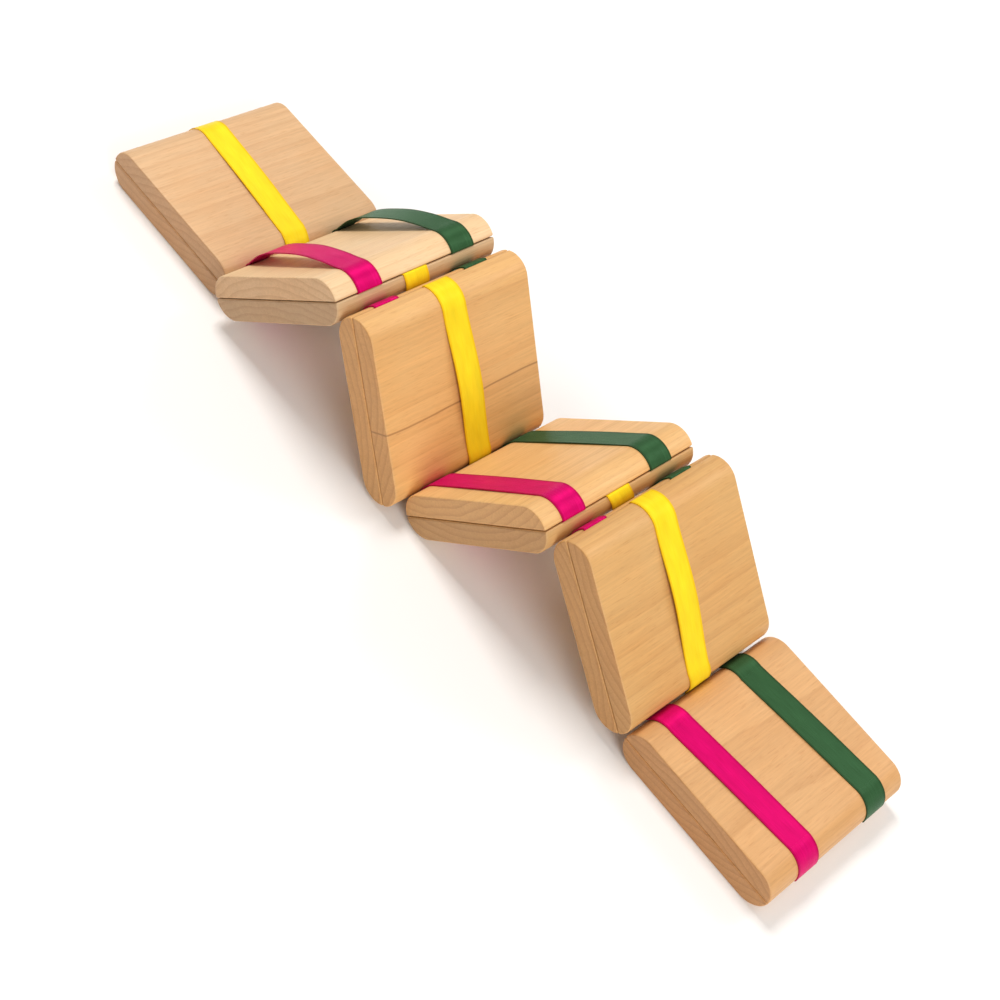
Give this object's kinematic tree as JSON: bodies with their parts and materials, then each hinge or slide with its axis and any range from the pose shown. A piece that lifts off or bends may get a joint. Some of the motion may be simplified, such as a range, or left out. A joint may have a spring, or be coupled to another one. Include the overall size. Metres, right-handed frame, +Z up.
{
  "type": "jacob's ladder tumbling block toy",
  "caption": "Chain of flat wooden blocks with rounded ends, hinged by satin ribbons so that each block tumbles over the next.",
  "frame": {"origin": "on the floor under the middle of the resting chain", "axes": "+X along the chain from block 1 to block 6, +Y along the hinge lines (magenta ribbon to green ribbon), +Z up"},
  "size_m": [0.3064, 0.074, 0.0537],
  "materials": {
    "wood": "bare sanded softwood, satin",
    "glue": "dried wood glue",
    "yellow_satin": "satin ribbon",
    "magenta_satin": "satin ribbon",
    "green_satin": "satin ribbon"
  },
  "bodies": {
    "block_1": {"block_1_upper_plate": "wood", "block_1_lower_plate": "wood", "block_1_glue_film": "glue", "yellow_run_12": "yellow_satin"},
    "block_2": {"block_2_upper_plate": "wood", "block_2_lower_plate": "wood", "block_2_glue_film": "glue", "magenta_run_12": "magenta_satin", "green_run_12": "green_satin", "magenta_run_23": "magenta_satin", "green_run_23": "green_satin"},
    "block_3": {"block_3_upper_plate": "wood", "block_3_lower_plate": "wood", "block_3_glue_film": "glue", "yellow_run_23": "yellow_satin", "yellow_run_34": "yellow_satin"},
    "block_4": {"block_4_upper_plate": "wood", "block_4_lower_plate": "wood", "block_4_glue_film": "glue", "magenta_run_34": "magenta_satin", "green_run_34": "green_satin", "magenta_run_45": "magenta_satin", "green_run_45": "green_satin"},
    "block_5": {"block_5_upper_plate": "wood", "block_5_lower_plate": "wood", "block_5_glue_film": "glue", "yellow_run_45": "yellow_satin", "yellow_run_56": "yellow_satin"},
    "block_6": {"block_6_upper_plate": "wood", "block_6_lower_plate": "wood", "block_6_glue_film": "glue", "magenta_run_56": "magenta_satin", "green_run_56": "green_satin"},
    "hinge_12": {"yellow_bend_12": "yellow_satin", "magenta_bend_12": "magenta_satin", "green_bend_12": "green_satin"},
    "hinge_23": {"yellow_bend_23": "yellow_satin", "magenta_bend_23": "magenta_satin", "green_bend_23": "green_satin"},
    "hinge_34": {"yellow_bend_34": "yellow_satin", "magenta_bend_34": "magenta_satin", "green_bend_34": "green_satin"},
    "hinge_45": {"yellow_bend_45": "yellow_satin", "magenta_bend_45": "magenta_satin", "green_bend_45": "green_satin"},
    "hinge_56": {"yellow_bend_56": "yellow_satin", "magenta_bend_56": "magenta_satin", "green_bend_56": "green_satin"}
  },
  "joints": [
    {"name": "fold_12", "type": "hinge", "parent": "block_1", "child": "hinge_12", "pos_m": [-0.09981, -0.00225, 0.0073], "axis": [0, -1, 0], "range_deg": [-22.75, 67.25], "deforming": ["yellow_bend_12", "magenta_bend_12", "green_bend_12", "magenta_run_12", "green_run_12"]},
    {"name": "roll_12", "type": "hinge", "parent": "hinge_12", "child": "block_2", "pos_m": [-0.08542, -0.00225, 0.01333], "axis": [0, -1, 0], "range_deg": [-22.75, 67.25]},
    {"name": "fold_23", "type": "hinge", "parent": "block_2", "child": "hinge_23", "pos_m": [-0.0536, -0.0045, 0.04571], "axis": [0, 1, 0], "range_deg": [-49.12, 40.88], "deforming": ["yellow_bend_23", "magenta_bend_23", "green_bend_23"]},
    {"name": "roll_23", "type": "hinge", "parent": "hinge_23", "child": "block_3", "pos_m": [-0.03803, -0.0045, 0.04473], "axis": [0, 1, 0], "range_deg": [-49.12, 40.88]},
    {"name": "fold_34", "type": "hinge", "parent": "block_3", "child": "hinge_34", "pos_m": [-0.01054, -0.00175, 0.0086], "axis": [0, -1, 0], "range_deg": [-50.37, 39.63], "deforming": ["yellow_bend_34", "magenta_bend_34", "green_bend_34"]},
    {"name": "roll_34", "type": "hinge", "parent": "hinge_34", "child": "block_4", "pos_m": [0.00504, -0.00175, 0.00795], "axis": [0, -1, 0], "range_deg": [-50.37, 39.63]},
    {"name": "fold_45", "type": "hinge", "parent": "block_4", "child": "hinge_45", "pos_m": [0.03542, 0.002, 0.04169], "axis": [0, 1, 0], "range_deg": [-44.55, 45.45], "deforming": ["yellow_bend_45", "magenta_bend_45", "green_bend_45"]},
    {"name": "roll_45", "type": "hinge", "parent": "hinge_45", "child": "block_5", "pos_m": [0.05099, 0.002, 0.04263], "axis": [0, 1, 0], "range_deg": [-44.55, 45.45]},
    {"name": "fold_56", "type": "hinge", "parent": "block_5", "child": "hinge_56", "pos_m": [0.0852, 0.00425, 0.01278], "axis": [0, -1, 0], "range_deg": [-20.55, 69.45], "deforming": ["yellow_bend_56", "magenta_bend_56", "green_bend_56"]},
    {"name": "roll_56", "type": "hinge", "parent": "hinge_56", "child": "block_6", "pos_m": [0.09981, 0.00425, 0.0073], "axis": [0, -1, 0], "range_deg": [-20.55, 69.45]}
  ],
  "couplings": [
    {"joint": "roll_12", "follows": "fold_12", "ratio": 1},
    {"joint": "roll_23", "follows": "fold_23", "ratio": 1},
    {"joint": "roll_34", "follows": "fold_34", "ratio": 1},
    {"joint": "roll_45", "follows": "fold_45", "ratio": 1},
    {"joint": "roll_56", "follows": "fold_56", "ratio": 1}
  ]
}
